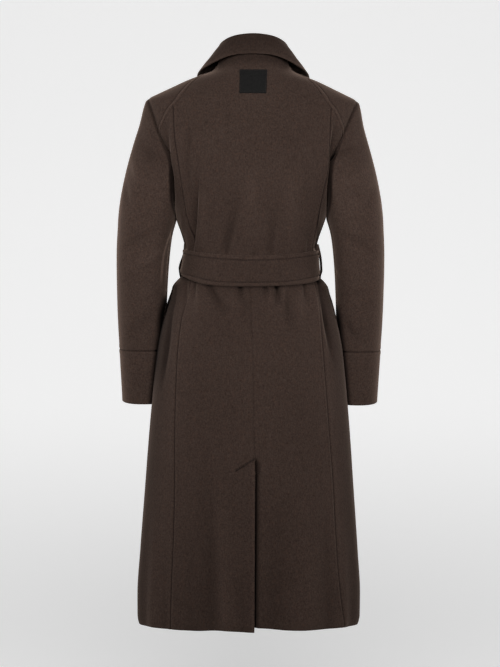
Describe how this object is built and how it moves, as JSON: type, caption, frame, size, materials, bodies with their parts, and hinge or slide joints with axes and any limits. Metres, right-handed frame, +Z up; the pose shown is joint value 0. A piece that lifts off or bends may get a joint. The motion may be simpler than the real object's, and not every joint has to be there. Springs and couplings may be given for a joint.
{
  "type": "wool coat",
  "caption": "Long belted wool coat with a turned-down collar, saddle yokes, deep cuffs and a centre back vent, hollow in its worn shape.",
  "frame": {"origin": "on the centre line between the shoulders at the height of the nape, where the coat is carried", "axes": "+Z up, +Y the way the coat's front faces, +X the coat's right side"},
  "size_m": [0.5554, 0.3699, 1.2144],
  "materials": {
    "wool": "felted dark brown wool with a short nap",
    "patch": "plain woven dark grey patch"
  },
  "bodies": {
    "root": {"back_upper": "wool", "back_skirt_left": "wool", "back_skirt_right": "wool", "side_back_left": "wool", "side_back_right": "wool", "front_upper_left": "wool", "front_upper_right": "wool", "front_skirt_left": "wool", "front_skirt_right": "wool", "side_front_left": "wool", "side_front_right": "wool", "yoke_left": "wool", "yoke_right": "wool", "lapel_left": "wool", "lapel_right": "wool", "collar": "wool", "sleeve_top_left": "wool", "sleeve_top_right": "wool", "sleeve_under_left": "wool", "sleeve_under_right": "wool", "cuff_left": "wool", "cuff_right": "wool", "belt": "wool", "belt_knot": "wool", "belt_tail_left": "wool", "belt_tail_right": "wool", "belt_loop_left": "wool", "belt_loop_right": "wool", "nape_patch": "patch"}
  },
  "joints": []
}
